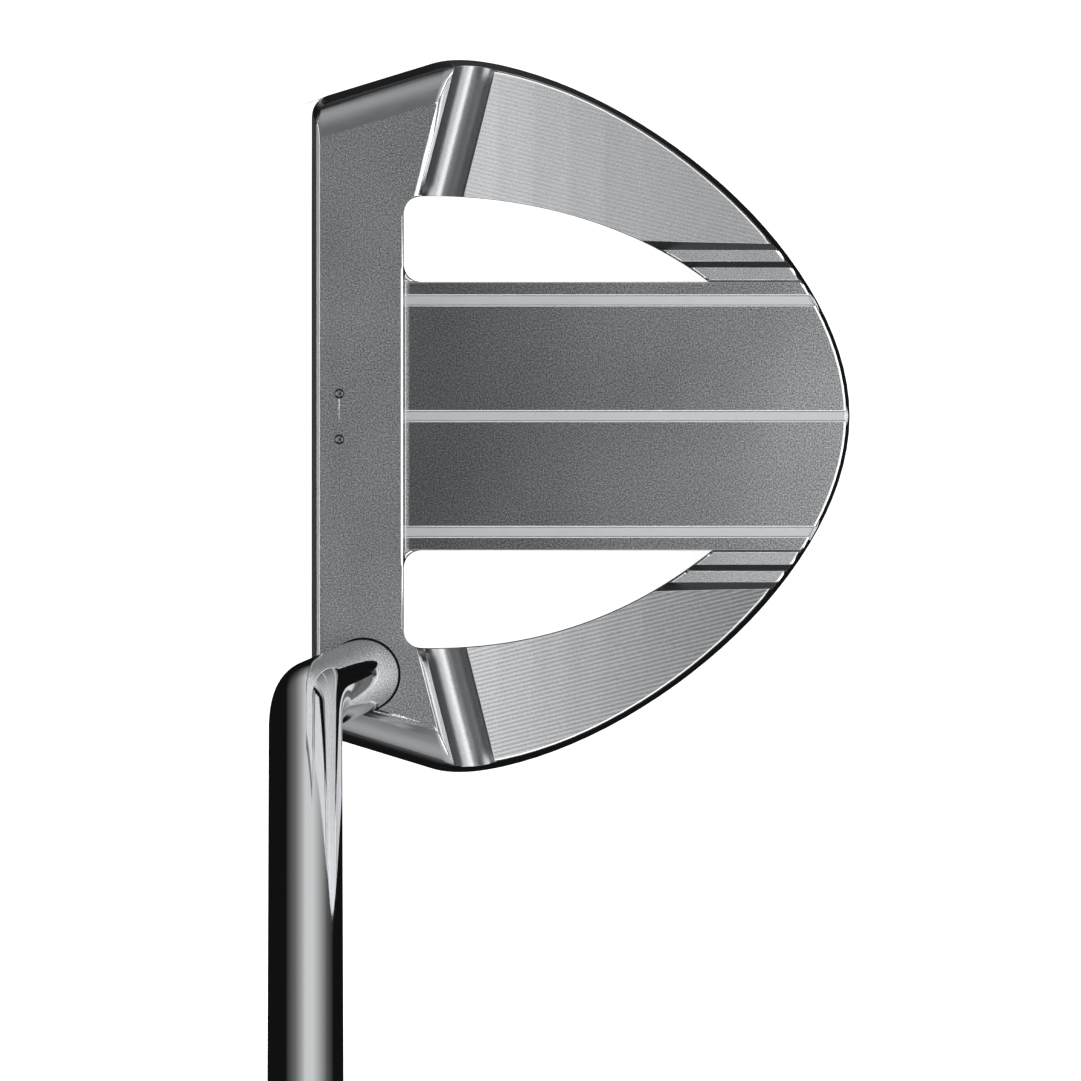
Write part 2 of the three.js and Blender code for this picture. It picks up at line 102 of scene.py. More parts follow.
def add_ramp(tree, factor, stops):
    """A colour ramp with (position, grey or colour) stops."""
    ramp = add_node(tree, "ShaderNodeValToRGB", {"Fac": factor})
    elements = ramp.color_ramp.elements
    while len(elements) < len(stops):
        elements.new(0.5)
    for element, (position, colour) in zip(elements, stops):
        element.position = position
        element.color = colour if isinstance(colour, tuple) else (colour, colour, colour, 1)
    return ramp.outputs[0]


def add_math(tree, operation, first, second=0.0):
    return add_node(tree, "ShaderNodeMath", {0: first, 1: second}, operation=operation).outputs[0]


def add_share(tree, value, low, high):
    """How far a value has come from low to high, as 0 to 1."""
    share = add_node(tree, "ShaderNodeMapRange", {"Value": value, "From Min": low, "From Max": high})
    return share.outputs[0]


def new_material(name):
    """An empty node material, its tree and its output node."""
    material = bpy.data.materials.new(name)
    material.use_nodes = True
    material.node_tree.nodes.clear()
    output = material.node_tree.nodes.new("ShaderNodeOutputMaterial")
    return material, material.node_tree, output


table_white, tree, output = new_material("table_white")
matt = add_node(tree, "ShaderNodeBsdfDiffuse", {"Color": FLOOR_COLOUR})
glow = add_node(tree, "ShaderNodeEmission", {"Color": (1, 1, 1, 1), "Strength": FLOOR_GLOW})
both = add_node(tree, "ShaderNodeAddShader", {0: matt.outputs[0], 1: glow.outputs[0]})
tree.links.new(both.outputs[0], output.inputs["Surface"])

table_mesh = bpy.data.meshes.new("table")
sheet = bmesh.new()
bmesh.ops.create_grid(sheet, x_segments=1, y_segments=1, size=FLOOR_SIZE / 2)
bmesh.ops.translate(sheet, verts=sheet.verts, vec=(0, 0, FLOOR_HEIGHT))
sheet.to_mesh(table_mesh)
sheet.free()
table_mesh.materials.append(table_white)
table = bpy.data.objects.new("table", table_mesh)
bpy.context.scene.collection.objects.link(table)
table.visible_glossy = False
table.visible_diffuse = False

world = bpy.data.worlds.new("studio_room")
bpy.context.scene.world = world
world.use_nodes = True
tree = world.node_tree
tree.nodes.clear()
sky = add_node(tree, "ShaderNodeTexCoord")
way = add_node(tree, "ShaderNodeSeparateXYZ", {0: sky.outputs["Generated"]})
room = add_ramp(tree, way.outputs["Z"], ROOM)
bearing = add_math(tree, "ARCTAN2", way.outputs["X"], way.outputs["Y"])
screen = add_ramp(tree, add_share(tree, bearing, -SCREEN_HALF_WIDTH, SCREEN_HALF_WIDTH), SCREEN)
above_foot = add_share(tree, way.outputs["Z"], *SCREEN_FOOT)
below_head = add_share(tree, way.outputs["Z"], *SCREEN_HEAD)
band = add_math(tree, "MULTIPLY", above_foot, below_head)
low_screen = add_node(tree, "ShaderNodeVectorMath", {0: screen, "Scale": band}, operation="SCALE")
whole = add_node(tree, "ShaderNodeVectorMath", {0: room, 1: low_screen.outputs[0]}, operation="ADD")
lit = add_node(tree, "ShaderNodeBackground", {"Color": whole.outputs[0], "Strength": 1.0})
seen = add_node(tree, "ShaderNodeBackground", {"Color": (1, 1, 1, 1), "Strength": 1.0})
ray = add_node(tree, "ShaderNodeLightPath")
choice = add_node(
    tree, "ShaderNodeMixShader",
    {0: ray.outputs["Is Camera Ray"], 1: lit.outputs[0], 2: seen.outputs[0]},
)
add_node(tree, "ShaderNodeOutputWorld", {"Surface": choice.outputs[0]})


def add_softbox(name, place, size, brightness):
    """A rectangular soft light aimed at the head, which the camera doesn't see."""
    data = bpy.data.lights.new(name, "AREA")
    data.shape = "RECTANGLE"
    data.size = size[0]
    data.size_y = size[1]
    data.energy = pi * size[0] * size[1] * brightness
    light = bpy.data.objects.new(name, data)
    bpy.context.scene.collection.objects.link(light)
    light.location = place
    light.rotation_euler = Vector(place).to_track_quat("Z", "Y").to_euler()
    light.visible_camera = False


add_softbox("overhead_softbox", (0.30, -0.05, 0.65), (0.90, 0.42), 1.1)
add_softbox("front_softbox", (-1.2, 0.0, 0.47), (1.6, 0.9), 2.2)
add_softbox("back_softbox", (1.2, 0.0, 0.47), (1.6, 0.9), 2.2)
add_softbox("toe_softbox", (0.0, 1.0, 1.0), (1.5, 0.9), 1.1)
add_softbox("heel_softbox", (0.0, -1.0, 1.0), (1.5, 0.9), 1.2)
bpy.context.scene.view_settings.view_transform = "Standard"


# ---- Head ----
# One block of stainless steel, milled all over: a full-height bar behind the face, a low floor with a stair
# on each side, two sloping wings and two windows. The flats are then bead blasted and the cuts left bright.

MM = 0.001
MERGE = 1e-6
FLAT_ANGLE = radians(0.5)  # faces flatter than this to each other are one face
EDGE_ANGLE = radians(28)  # sharper edges are broken
WIDE_BREAK = 0.35 * MM  # outer rims of the wings, rims of the floor and the middle of the bar
PLAIN_BREAK = 0.22 * MM  # edges that nothing else is said about
LINE_BREAK = 0.20 * MM  # rims of the grooves for the alignment lines
NARROW_BREAK = 0.06 * MM  # windows, along the wings
FINE_BREAK = 0.03 * MM  # inside corners, channels, the stairs, the sole and the rim of the face
TOPLINE_Z = 23 * MM
FLOOR_Z = 5 * MM
LINE_Y = 15.17 * MM
LINE_HALF = 0.6 * MM
CHANNEL_ANGLE = radians(14.4)
CHANNEL_POINT = Vector((-17.95, 29.7, 11.4)) * MM  # one point of the axis of the round channel
CHANNEL_RADIUS = 2.7 * MM
BORE_MOUTH = Vector((-28.6, -33.7, 23)) * MM  # middle of the shaft's bore, at the topline
BORE_REACH = 6 * MM  # edges nearer than this to BORE_MOUTH belong to the bore
MIDDLE_Y = 17 * MM  # the floor and the middle of the bar reach this far to each side
BAR_END_Y = 26 * MM  # the bar's two ends lie beyond this
CHANNEL_SIDE_X = -27 * MM  # edges on top of the bar's ends and behind this are beside a channel
STAIR_Y = 24 * MM  # outer side of the stairs
STAIR_X = 4 * MM  # front end of the stairs
ROLL_Y = 36 * MM  # the rolls at the ends of the bar lie beyond this
ROLL_DROP = 3 * MM  # height of the rolls
DIMPLE_Y = 4.5 * MM  # a box round the two sight dimples
DIMPLE_FRONT_X = -33 * MM
DIMPLE_BACK_X = -30 * MM
DIMPLE_DEPTH = 0.5 * MM
TREAD_TOP_Z = FLOOR_Z + 2.5 * MM  # between the stairs' treads and the wings
FACE_X = -34 * MM  # just behind the face
FACE_CUT_X = -34.1 * MM  # a cut along the face
FLAT_CUT = 1.35 * MM  # a cut along each channel, this far beside it
ROLL_CUTS = [1.6 * MM, 11 * MM, 14 * MM]  # cuts across, this far beyond CHANNEL_POINT


def add_scaled(tree, value, factor, offset):
    """The value times a factor, plus an offset."""
    return add_math(tree, "ADD", add_math(tree, "MULTIPLY", value, factor), offset)


def steel_grain_group():
    """Fine even roughness left by bead blasting: a tint, a roughness and a height."""
    group = bpy.data.node_groups.new("steel_grain", "ShaderNodeTree")
    side = group.interface
    side.new_socket("Place", in_out="INPUT", socket_type="NodeSocketVector")
    side.new_socket("Beads per metre", in_out="INPUT", socket_type="NodeSocketFloat")
    side.new_socket("Contrast", in_out="INPUT", socket_type="NodeSocketFloat")
    for name in ("Tint", "Roughness", "Height"):
        side.new_socket(name, in_out="OUTPUT", socket_type="NodeSocketFloat")
    given = group.nodes.new("NodeGroupInput")
    result = group.nodes.new("NodeGroupOutput")
    place = given.outputs["Place"]
    beads = add_node(
        group, "ShaderNodeTexNoise",
        {"Vector": place, "Scale": given.outputs["Beads per metre"], "Detail": 3.0, "Roughness": 0.7},
    )
    patches = add_node(
        group, "ShaderNodeTexNoise",
        {"Vector": place, "Scale": 60.0, "Detail": 2.0, "Roughness": 0.5},
    )
    spread = add_math(group, "SUBTRACT", beads.outputs[0], 0.5)
    spread = add_math(group, "MULTIPLY", spread, given.outputs["Contrast"])
    cloud = add_math(group, "MULTIPLY", add_math(group, "SUBTRACT", patches.outputs[0], 0.5), 0.10)
    tint = add_math(group, "ADD", add_math(group, "ADD", spread, cloud), 1.0)
    group.links.new(tint, result.inputs["Tint"])
    group.links.new(add_scaled(group, patches.outputs[0], 0.08, 0.20), result.inputs["Roughness"])
    group.links.new(beads.outputs[0], result.inputs["Height"])
    return group


steel_grain = steel_grain_group()


def add_object_place(tree):
    return add_node(tree, "ShaderNodeTexCoord").outputs["Object"]


def tinted(tree, colour, tint):
    """The colour times a value that varies over the surface."""
    mixed = add_node(tree, "ShaderNodeVectorMath", {0: colour, "Scale": tint}, operation="SCALE")
    return mixed.outputs[0]


def finish_with(tree, output, inputs):
    """Ends a material with a principled shader that has these inputs."""
    shader = add_node(tree, "ShaderNodeBsdfPrincipled", inputs)
    tree.links.new(shader.outputs[0], output.inputs["Surface"])


BEADS_PER_METRE = 5000.0
PAINTED_LIGHT_FROM = -25 * MM  # x where the painted light begins
PAINTED_LIGHT_TO = 35 * MM


def blasted_material(name, colour, contrast=4.2, painted_light=None):
    """Bead-blasted steel. painted_light lists (share of the way to the back, tint): light and shade painted
    into the colour along x.
    """
    material, tree, output = new_material(name)
    place = add_object_place(tree)
    grain = add_node(
        tree, "ShaderNodeGroup",
        {"Place": place, "Beads per metre": BEADS_PER_METRE, "Contrast": contrast},
        node_tree=steel_grain,
    )
    tint = grain.outputs["Tint"]
    # Painted light: the tint is scaled along x in place of light and shade across the surface.
    if painted_light:
        along = add_node(tree, "ShaderNodeSeparateXYZ", {0: place}).outputs["X"]
        share = add_share(tree, along, PAINTED_LIGHT_FROM, PAINTED_LIGHT_TO)
        tint = add_math(tree, "MULTIPLY", tint, add_ramp(tree, share, painted_light))
    rise = add_node(
        tree, "ShaderNodeBump",
        {"Height": grain.outputs["Height"], "Strength": 0.12, "Distance": 0.02 * MM},
    )
    finish_with(tree, output, {
        "Base Color": tinted(tree, colour, tint),
        "Metallic": 1.0,
        "Roughness": grain.outputs["Roughness"],
        "Normal": rise.outputs[0],
    })
    return material


LINE_PITCH = 0.55 * MM
LINE_CONTRAST = 0.12
HEEL_PAINTED_CONTRAST = 0.16  # painted light: the lines' tint swings this much more at the heel, where the light from the heel side shows them more
HEEL_PAINTED_SHADE = 0.15  # and the heel wing is painted this much darker, as painted shade
HEEL_PAINTED_SHADE_PER_METRE = 8.0  # and painted darker still towards the back, per metre, as painted shade


def milled_material(name, colour):
    """Bright flat with the fine lines of a ball cutter, square to the channels. At the heel the lines' tint
    is stronger and the wing is darker, darker still towards the back: painted light and shade.
    """
    material, tree, output = new_material(name)
    place = add_object_place(tree)
    parts = add_node(tree, "ShaderNodeSeparateXYZ", {0: place})
    outward = add_math(tree, "ABSOLUTE", parts.outputs["Y"])
    slope = add_math(tree, "MULTIPLY", parts.outputs["X"], tan(CHANNEL_ANGLE))
    across = add_math(tree, "ADD", outward, slope)
    phase = add_math(tree, "MULTIPLY", across, 2 * pi / LINE_PITCH)
    wave = add_math(tree, "SINE", phase)
    ridge = add_math(tree, "ABSOLUTE", add_math(tree, "SINE", add_math(tree, "MULTIPLY", phase, 0.5)))
    grain = add_node(tree, "ShaderNodeTexNoise", {"Vector": place, "Scale": 6000.0, "Detail": 2.0})
    # Painted light and shade at the heel: a stronger line tint, a darker wing, and darker still towards the
    # back.
    at_heel = add_math(tree, "LESS_THAN", parts.outputs["Y"], 0.0)
    depth = add_scaled(tree, at_heel, HEEL_PAINTED_CONTRAST, LINE_CONTRAST)
    behind = add_math(tree, "MULTIPLY", add_math(tree, "MULTIPLY", parts.outputs["X"], at_heel), HEEL_PAINTED_SHADE_PER_METRE)
    darker = add_math(tree, "ADD", behind, add_math(tree, "MULTIPLY", at_heel, HEEL_PAINTED_SHADE))
    tint = add_math(tree, "ADD", add_math(tree, "MULTIPLY", wave, depth), 0.65)
    tint = add_math(tree, "ADD", tint, add_math(tree, "MULTIPLY", grain.outputs[0], 0.70))
    tint = add_math(tree, "SUBTRACT", tint, darker)
    rise = add_node(tree, "ShaderNodeBump", {"Height": ridge, "Strength": 0.2, "Distance": 0.03 * MM})
    finish_with(tree, output, {
        "Base Color": tinted(tree, colour, tint),
        "Metallic": 1.0,
        "Roughness": 0.27,
        "Normal": rise.outputs[0],
    })
    return material


DRAG_STRETCH = (400, 400, 6000)


def cut_material(name, colour, roughness):
    """Plain cut steel with a faint drag of the tool."""
    material, tree, output = new_material(name)
    place = add_object_place(tree)
    stretched = add_node(tree, "ShaderNodeMapping", {"Vector": place, "Scale": DRAG_STRETCH})
    drag = add_node(
        tree, "ShaderNodeTexNoise", {"Vector": stretched.outputs[0], "Scale": 1.0, "Detail": 2.0},
    )
    tint = add_scaled(tree, add_math(tree, "SUBTRACT", drag.outputs[0], 0.5), 0.14, 1.0)
    finish_with(tree, output, {
        "Base Color": tinted(tree, colour, tint),
        "Metallic": 1.0,
        "Roughness": add_scaled(tree, drag.outputs[0], 0.08, roughness),
    })
    return material


CHANNEL_PAINTED_LIGHT = [  # share of the way across, tint: painted shade at the sides and a painted highlight along the middle
    (0.0, 0.38), (0.15, 0.32), (0.25, 0.55), (0.33, 1.0), (0.43, 1.45),
    (0.52, 0.9), (0.62, 0.42), (0.8, 0.60), (1.0, 0.95),
]


def channel_material(name, colour):
    """The round wall left by a ball cutter, with painted shade at its sides and a painted highlight along its
    middle.
    """
    material, tree, output = new_material(name)
    place = add_object_place(tree)
    parts = add_node(tree, "ShaderNodeSeparateXYZ", {0: place})
    outward = add_math(tree, "SUBTRACT", add_math(tree, "ABSOLUTE", parts.outputs["Y"]), CHANNEL_POINT.y)
    axis = add_scaled(tree, outward, tan(CHANNEL_ANGLE), CHANNEL_POINT.x)
    offset = add_math(tree, "SUBTRACT", parts.outputs["X"], axis)
    shade = add_ramp(tree, add_share(tree, offset, -CHANNEL_RADIUS, CHANNEL_RADIUS), CHANNEL_PAINTED_LIGHT)
    grain = add_node(tree, "ShaderNodeTexNoise", {"Vector": place, "Scale": 5000.0, "Detail": 2.0})
    speckle = add_scaled(tree, grain.outputs[0], 0.6, 0.7)
    finish_with(tree, output, {
        "Base Color": tinted(tree, colour, add_math(tree, "MULTIPLY", shade, speckle)),
        "Metallic": 1.0,
        "Roughness": add_scaled(tree, grain.outputs[0], 0.1, 0.27),
    })
    return material


BLASTED_GREY = (0.58, 0.60, 0.615)
# Painted light on the floor: a painted highlight along the foot of the bar's back wall, then painted shade
# beside the wall that lightens towards the back.
FLOOR_PAINTED_LIGHT = [(0.036, 1.9), (0.042, 0.46), (0.17, 0.53), (0.42, 0.72), (0.75, 0.88), (1.0, 1.2)]

head_finishes = [
    cut_material("cut_steel", (0.40, 0.41, 0.42), 0.15),
    blasted_material("blasted_steel", BLASTED_GREY),
    milled_material("milled_steel", (0.60, 0.615, 0.63)),
    blasted_material("blasted_treads", (0.90, 0.92, 0.94), contrast=1.8),
    # the stairs' risers: a near-black tint, painted shade
    cut_material("riser_painted_shade", (0.05, 0.052, 0.055), 0.30),
    cut_material("face_steel", (0.55, 0.56, 0.57), 0.28),
    # broken edges and the flats beside the channels: a near-white tint, painted highlight
    cut_material("edge_painted_highlight", (0.88, 0.89, 0.90), 0.20),
    cut_material("roll_steel", (0.29, 0.30, 0.31), 0.32),
    blasted_material("blasted_floor", BLASTED_GREY, painted_light=FLOOR_PAINTED_LIGHT),
    channel_material("channel_steel", (0.60, 0.61, 0.62)),
    # the walls of the sight dimples: a dark tint, painted shade in the recesses
    cut_material("dimple_painted_shade", (0.14, 0.14, 0.145), 0.22),
]
CUT, BLASTED, MILLED, TREAD, RISER, FACE, HIGHLIGHT_EDGE, ROLL, FLOOR, CHANNEL, DIMPLE = range(len(head_finishes))


def in_channel(place):
    """Whether a point lies on the wall of one of the two round channels."""
    axis_x = CHANNEL_POINT.x + tan(CHANNEL_ANGLE) * (abs(place.y) - CHANNEL_POINT.y)
    offset = Vector(((place.x - axis_x) * cos(CHANNEL_ANGLE), place.z - CHANNEL_POINT.z))
    return abs(offset.length - CHANNEL_RADIUS) < 0.1 * MM and abs(place.y) > MIDDLE_Y


def in_dimple(place):
    """Whether a point is in the box round the two sight dimples of the topline."""
    beside_middle = abs(place.y) < DIMPLE_Y and DIMPLE_FRONT_X < place.x < DIMPLE_BACK_X
    return beside_middle and place.z > TOPLINE_Z - DIMPLE_DEPTH


def head_finish_of(face):
    """Which finish a face of the head has, from where it is and which way it looks."""
    middle = face.calc_center_median()
    facing = face.normal
    if facing.x < -0.98:
        return FACE
    if facing.z < -0.9:
        return BLASTED
    if in_channel(middle):
        return CHANNEL
    # The dimple walls take the dark tint, painted shade in the recesses.
    if in_dimple(middle) and facing.z < 0.999:
        return DIMPLE
    beside_channel = middle.z > TOPLINE_Z - 1.3 * MM and abs(middle.y) > MIDDLE_Y
    # The flats beside the channels take the near-white edge tint, a painted highlight.
    if beside_channel and 0.6 < facing.x < 0.8:
        return HIGHLIGHT_EDGE
    if middle.z > TOPLINE_Z - ROLL_DROP and abs(middle.y) > ROLL_Y and 0.05 < facing.z < 0.999:
        return ROLL
    if facing.z < 0.95:
        on_stair = middle.x > STAIR_X and MIDDLE_Y < abs(middle.y) < STAIR_Y
        # The risers take the near-black tint, painted shade.
        return RISER if on_stair and abs(facing.x) < 0.1 and facing.z > 0.1 else CUT
    if middle.z > TOPLINE_Z - 0.1 * MM:
        return BLASTED
    if middle.z < FLOOR_Z + 0.1 * MM:
        return FLOOR
    if middle.z < TREAD_TOP_Z:
        return TREAD
    return MILLED


def topline_break_of(middle, square):
    """Width of the break on an edge near the top of the bar, from its middle and whether it is square."""
    if (middle - BORE_MOUTH).length < BORE_REACH:
        return 0
    if middle.x < FACE_X:
        return FINE_BREAK
    beside_channel = abs(middle.y) > BAR_END_Y and middle.x > CHANNEL_SIDE_X
    if beside_channel:
        return 0
    return WIDE_BREAK if square and abs(middle.y) < MIDDLE_Y else PLAIN_BREAK


def edge_break_of(edge):
    """Width of the break on an edge of the head. The rolled ends stay as they are."""
    middle = (edge.verts[0].co + edge.verts[1].co) / 2
    direction = (edge.verts[1].co - edge.verts[0].co).normalized()
    steepness = sorted(abs(face.normal.z) for face in edge.link_faces)
    square = steepness[0] < 0.3 and steepness[1] > 0.9
    in_groove = any(abs(abs(middle.y) - y) < LINE_HALF * 1.2 for y in (0, LINE_Y))
    on_roll = middle.z > TOPLINE_Z - ROLL_DROP and abs(middle.y) > ROLL_Y + 2 * MM
    if on_roll or in_dimple(middle) or (in_groove and middle.z < FLOOR_Z - 0.3 * MM):
        return 0
    if not edge.is_convex:
        return FINE_BREAK
    if middle.z > TOPLINE_Z - 1.5 * MM:
        return topline_break_of(middle, square)
    if in_groove and FLOOR_Z - 1 * MM < middle.z < FLOOR_Z + 0.1 * MM:
        return FINE_BREAK if abs(direction.y) > 0.8 and middle.x < 0 else LINE_BREAK
    if any(in_channel(face.calc_center_median()) for face in edge.link_faces):
        return FINE_BREAK
    wall = min(edge.link_faces, key=lambda face: abs(face.normal.z))
    faces_window = wall.normal.x * middle.x + wall.normal.y * middle.y < 0
    if middle.z > FLOOR_Z - 0.1 * MM and square:
        return NARROW_BREAK if faces_window and middle.z > TREAD_TOP_Z else WIDE_BREAK
    on_stair = middle.x > STAIR_X and MIDDLE_Y < abs(middle.y) < STAIR_Y + 1 * MM
    on_sole = steepness[1] > 0.99 and middle.z < 2 * MM
    return FINE_BREAK if on_stair or on_sole else PLAIN_BREAK


def at_bar_end(face, side):
    """Whether a face is on the roll at one end of the bar, or on the flat between the bar and its channel."""
    middle = face.calc_center_median()
    near_top = middle.z > TOPLINE_Z - 2.5 * MM
    return near_top and side * middle.y > BAR_END_Y and 0.05 < face.normal.z < 0.9999


shape = bmesh.new()
shape.from_mesh(nodes["head"].data)
bmesh.ops.remove_doubles(shape, verts=shape.verts, dist=MERGE)
shape.normal_update()
for face in shape.faces:
    face.material_index = head_finish_of(face)
    face.smooth = True
bmesh.ops.dissolve_limit(
    shape, angle_limit=FLAT_ANGLE, verts=shape.verts, edges=shape.edges, delimit={"MATERIAL"}
)

# Cuts across the long faces at the bar's ends, which keep their smooth shading even.
for side in (1, -1):
    along = Vector((sin(CHANNEL_ANGLE), side * cos(CHANNEL_ANGLE), 0))
    away = Vector((cos(CHANNEL_ANGLE), -side * sin(CHANNEL_ANGLE), 0))
    start = Vector((CHANNEL_POINT.x, side * CHANNEL_POINT.y, TOPLINE_Z))
    cuts = [(start - away * (CHANNEL_RADIUS + FLAT_CUT), away)]
    cuts += [(start + along * distance, along) for distance in ROLL_CUTS]
    cuts.append((Vector((FACE_CUT_X, 0, 0)), Vector((1, 0, 0))))
    for place, facing in cuts:
        end_faces = [face for face in shape.faces if at_bar_end(face, side)]
        edges = {edge for face in end_faces for edge in face.edges}
        verts = {vert for face in end_faces for vert in face.verts}
        bmesh.ops.bisect_plane(
            shape, geom=end_faces + list(edges) + list(verts), dist=MERGE, plane_co=place, plane_no=facing
        )

weight = shape.edges.layers.float.new("bevel_weight_edge")
for edge in shape.edges:
    if len(edge.link_faces) == 2 and edge.calc_face_angle() > EDGE_ANGLE:
        edge[weight] = edge_break_of(edge) / WIDE_BREAK


def finished_piece(name, shape, materials, cad_node):
    """Turns a finished bmesh into a piece of the putter, in place of its CAD node."""
    mesh = bpy.data.meshes.new(name)
    shape.to_mesh(mesh)
    shape.free()
    for material in materials:
        mesh.materials.append(material)
    piece = bpy.data.objects.new(name, mesh)
    bpy.context.scene.collection.objects.link(piece)
    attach(piece, "root")
    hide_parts(cad_node)
    return piece


head = finished_piece("putter_head", shape, head_finishes, "head")
edge_break = head.modifiers.new("edge_break", "BEVEL")
edge_break.limit_method = "WEIGHT"
edge_break.width = WIDE_BREAK
edge_break.segments = 3
edge_break.profile = 0.5
# The broken edges take the near-white tint, a painted highlight.
edge_break.material = HIGHLIGHT_EDGE
edge_break.harden_normals = False
edge_break.use_clamp_overlap = False
even_shading = head.modifiers.new("even_shading", "WEIGHTED_NORMAL")
even_shading.mode = "FACE_AREA"
even_shading.weight = 50
even_shading.keep_sharp = False


# ---- Alignment lines ----
# Three grooves run the length of the floor and are filled with pale grey enamel, a touch below the surface.

ENAMEL_RIM = 0.12 * MM  # width of the slope round each line
ENAMEL_DIP = 0.04 * MM

enamel, tree, output = new_material("pale_enamel")
place = add_object_place(tree)
skin = add_node(tree, "ShaderNodeTexNoise", {"Vector": place, "Scale": 900.0, "Detail": 3.0})
ripple = add_node(
    tree, "ShaderNodeBump", {"Height": skin.outputs[0], "Strength": 0.15, "Distance": 0.05 * MM},
)
tint = add_scaled(tree, skin.outputs[0], 0.08, 0.96)
finish_with(tree, output, {
    "Base Color": tinted(tree, (0.60, 0.62, 0.635), tint),
    "Roughness": 0.45,
    "Normal": ripple.outputs[0],
})

for name in ("toe", "centre", "heel"):
    strip = bmesh.new()
    strip.from_mesh(nodes[f"alignment_line_{name}"].data)
    bmesh.ops.remove_doubles(strip, verts=strip.verts, dist=MERGE)
    bmesh.ops.dissolve_limit(strip, angle_limit=FLAT_ANGLE, verts=strip.verts, edges=strip.edges)
    strip.normal_update()
    top = [face for face in strip.faces if face.normal.z > 0.9]
    bmesh.ops.inset_region(
        strip, faces=top, thickness=ENAMEL_RIM, depth=-ENAMEL_DIP, use_even_offset=True
    )
    finished_piece(f"enamel_{name}", strip, [enamel], f"alignment_line_{name}")


# ---- Shaft ----
# A stepped tube of chromed steel. Its plain tip stands in the bore of the head, turns through one bend and
# runs up at the lie angle, a little wider at each step.

LIE = radians(70)
BEND_POINT = Vector((-36.1, -36.1, 88)) * MM
BEND_RADIUS = 64 * MM
BORE_DEPTH = 16 * MM
TIP_CLEARANCE = 0.6 * MM
TIP_RADIUS = 4.7 * MM
BUTT_RADIUS = 7.55 * MM
WALL = 0.6 * MM
STEP_COUNT = 11
STEP_START = 190 * MM
STEP_PITCH = 31 * MM
STEP_LENGTH = 1.2 * MM
CLUB_LENGTH = 864 * MM
CAP_THICKNESS = 3 * MM
SHAFT_GAP = 1 * MM  # between the end of the shaft and the cap
TIP_CHAMFER = 0.3 * MM
STEP_EDGE = 0.3 * MM  # short straight before and after each step, which keeps its shading crisp
SHAFT_SIDES = 96
BEND_RINGS = 40

lower_axis = (BEND_POINT - BORE_MOUTH).normalized()
upper_axis = Vector((0, -cos(LIE), sin(LIE)))
bend_angle = lower_axis.angle(upper_axis)
bend_tangent = BEND_RADIUS * tan(bend_angle / 2)
bend_inward = (upper_axis - lower_axis * upper_axis.dot(lower_axis)).normalized()
bend_side = lower_axis.cross(bend_inward)
shaft_tip = BORE_MOUTH + lower_axis * (TIP_CLEARANCE - BORE_DEPTH)
bend_start = (shaft_tip - BEND_POINT).length - bend_tangent
bend_end = bend_start + BEND_RADIUS * bend_angle
club_end = bend_end - bend_tangent + CLUB_LENGTH - BEND_POINT.z / sin(LIE)
shaft_end = club_end - CAP_THICKNESS - SHAFT_GAP


def turned(profile, sides):
    """A solid of revolution about Y from a closed list of (radius, distance along Y)."""
    shape = bmesh.new()
    ring = [shape.verts.new((r, s, 0)) for r, s in profile]
    edges = [shape.edges.new((a, b)) for a, b in zip(ring, ring[1:] + ring[:1])]
    bmesh.ops.spin(
        shape, geom=ring + edges, cent=(0, 0, 0), axis=(0, 1, 0), angle=2 * pi, steps=sides, use_merge=True
    )
    bmesh.ops.remove_doubles(shape, verts=shape.verts, dist=MERGE)
    bmesh.ops.recalc_face_normals(shape, faces=shape.faces)
    return shape


def bend_to_shaft(shape):
    """Lays a shape turned about Y along the bent line of the shaft, with y = 0 at the tip."""
    for vert in shape.verts:
        x, s, z = vert.co
        turn = min(max((s - bend_start) / BEND_RADIUS, 0), bend_angle)
        rotation = Quaternion(bend_side, turn)
        inward = rotation @ bend_inward
        centre = shaft_tip + lower_axis * (min(s, bend_start) + BEND_RADIUS * sin(turn))
        centre += bend_inward * (BEND_RADIUS * (1 - cos(turn)))
        centre += rotation @ lower_axis * max(0, s - bend_end)
        vert.co = centre + inward * x - bend_side * z


outside = [(TIP_RADIUS - TIP_CHAMFER, 0), (TIP_RADIUS, TIP_CHAMFER), (TIP_RADIUS, 2 * TIP_CHAMFER)]
for ring in range(BEND_RINGS + 1):
    outside.append((TIP_RADIUS, bend_start + (bend_end - bend_start) * ring / BEND_RINGS))
step_rise = (BUTT_RADIUS - TIP_RADIUS) / STEP_COUNT
for step in range(STEP_COUNT):
    foot = bend_end + STEP_START + STEP_PITCH * step
    radius = TIP_RADIUS + step_rise * step
    outside += [(radius, foot - STEP_EDGE), (radius, foot)]
    radius += step_rise
    outside += [(radius, foot + STEP_LENGTH), (radius, foot + STEP_LENGTH + STEP_EDGE)]
outside.append((BUTT_RADIUS, shaft_end))
inside = [(BUTT_RADIUS - WALL, shaft_end), (TIP_RADIUS - WALL, bend_end), (TIP_RADIUS - WALL, bend_start)]
inside.append((TIP_RADIUS - WALL, 0))

chrome, tree, output = new_material("chrome")
place = add_object_place(tree)
haze = add_node(tree, "ShaderNodeTexNoise", {"Vector": place, "Scale": 40.0, "Detail": 4.0})
finish_with(tree, output, {
    "Base Color": (0.88, 0.89, 0.90, 1),
    "Metallic": 1.0,
    "Roughness": add_scaled(tree, haze.outputs[0], 0.03, 0.02),
})

tube = turned(outside + inside, SHAFT_SIDES)
bend_to_shaft(tube)
for face in tube.faces:
    face.smooth = True
finished_piece("chrome_shaft", tube, [chrome], "shaft")


# ---- Pieces hidden in the head and on the shaft ----
# Epoxy fills the thin ring between shaft and bore, a cork plug keeps it out of the tube, and a wrap of
# double-sided tape holds the grip.

